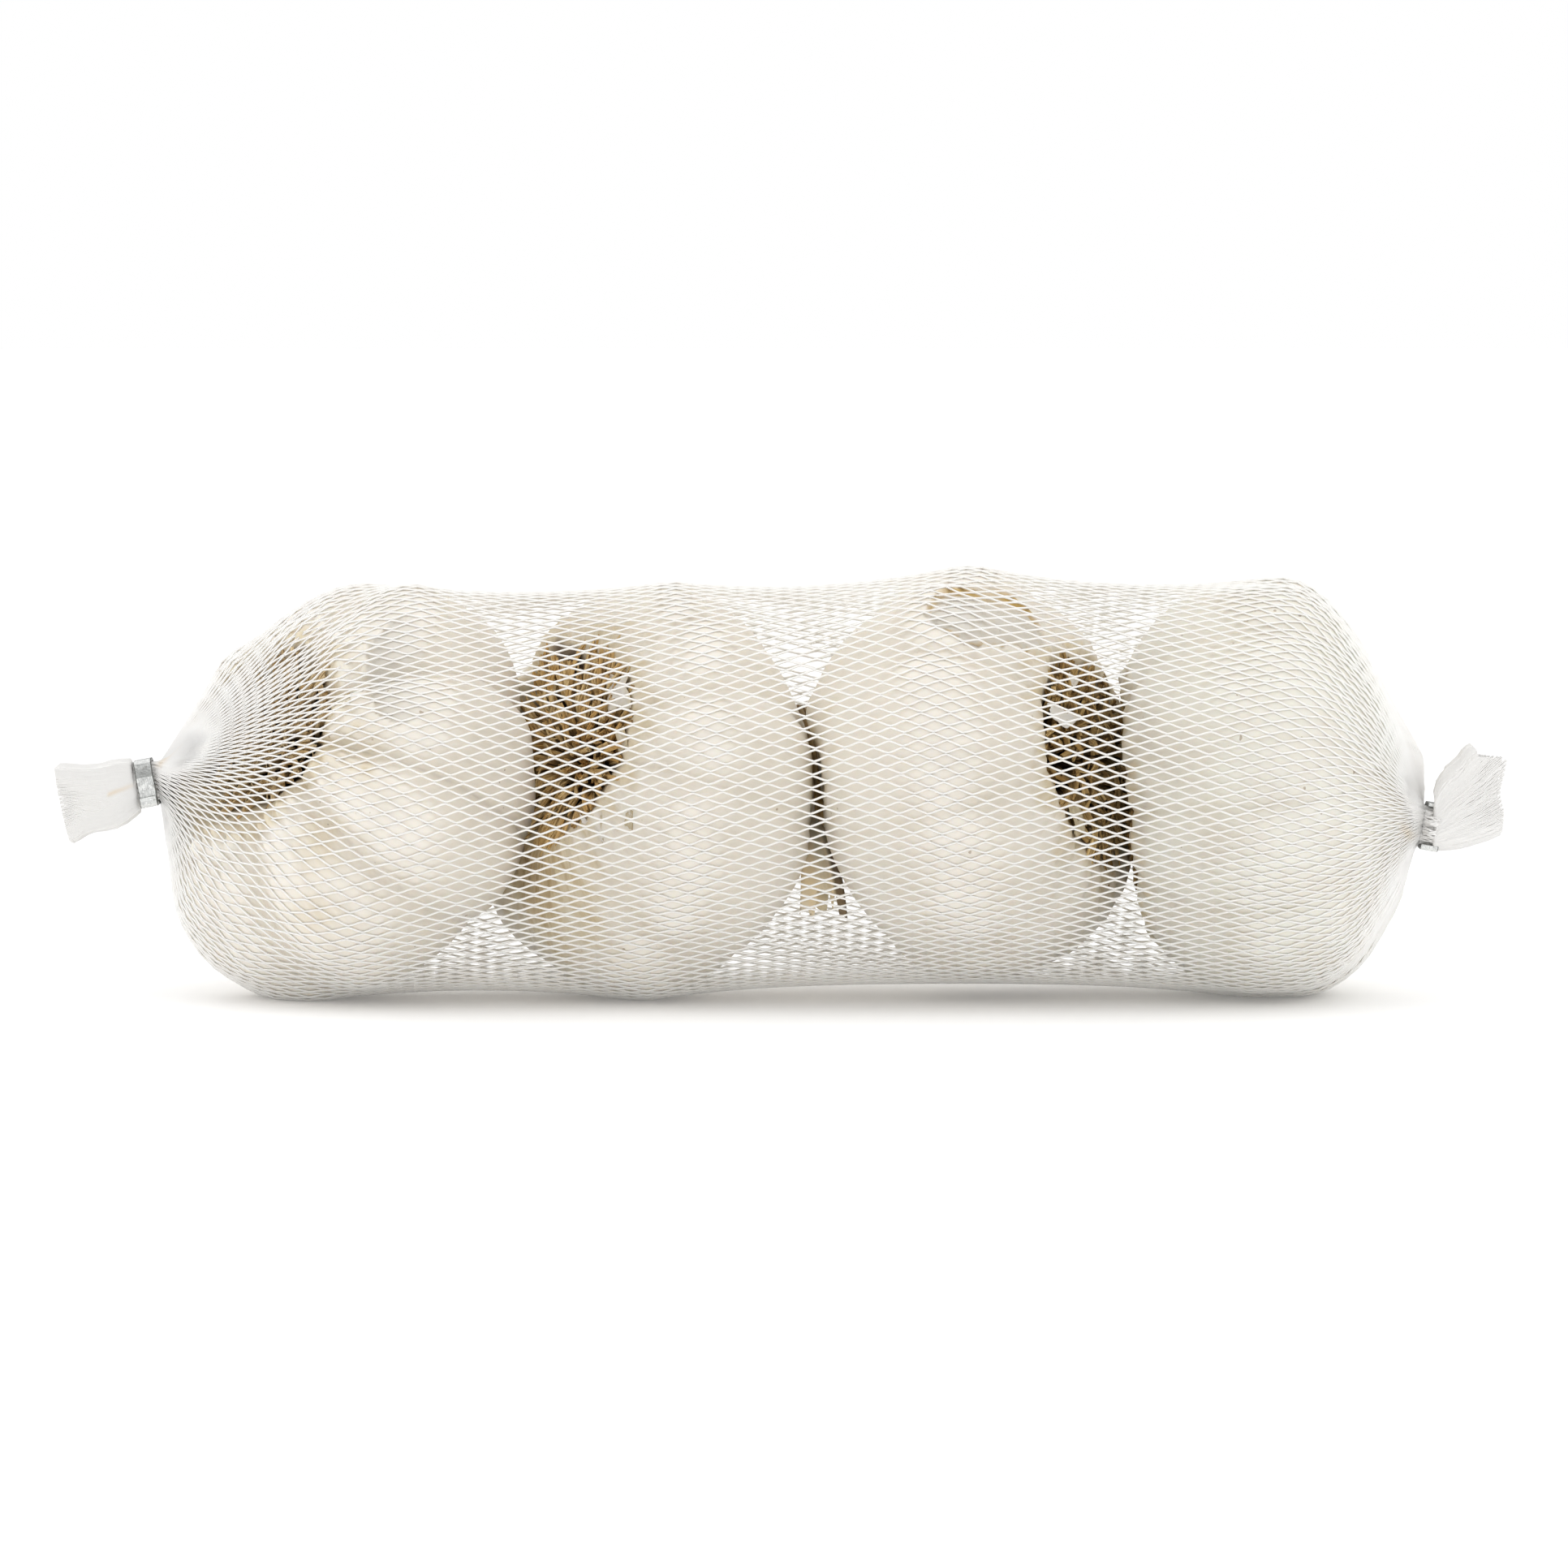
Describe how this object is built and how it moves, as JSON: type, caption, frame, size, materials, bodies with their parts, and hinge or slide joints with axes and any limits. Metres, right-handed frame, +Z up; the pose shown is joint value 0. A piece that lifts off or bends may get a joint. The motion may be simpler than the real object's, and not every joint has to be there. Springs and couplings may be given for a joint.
{
  "type": "net of garlic",
  "caption": "Long net sleeve of garlic bulbs lying in a row, clipped shut with a bent metal strip at each end and with a short gathered tail of net beyond each clip.",
  "frame": {"origin": "on the floor, under the middle of the whole", "axes": "+X along the row of bulbs from the left clip to the right clip, +Y away from the viewer of the picture, +Z up"},
  "size_m": [0.196, 0.0566, 0.0584],
  "materials": {
    "net": "thin white plastic net, slightly translucent",
    "garlic_skin": "dry papery skin, creamy white with faint veins",
    "dried_root": "dry brown cut roots and stem ends",
    "clip_metal": "plain rolled strip, lightly scuffed"
  },
  "bodies": {
    "root": {"net": "net", "clip_left": "clip_metal", "clip_right": "clip_metal"}
  },
  "joints": []
}
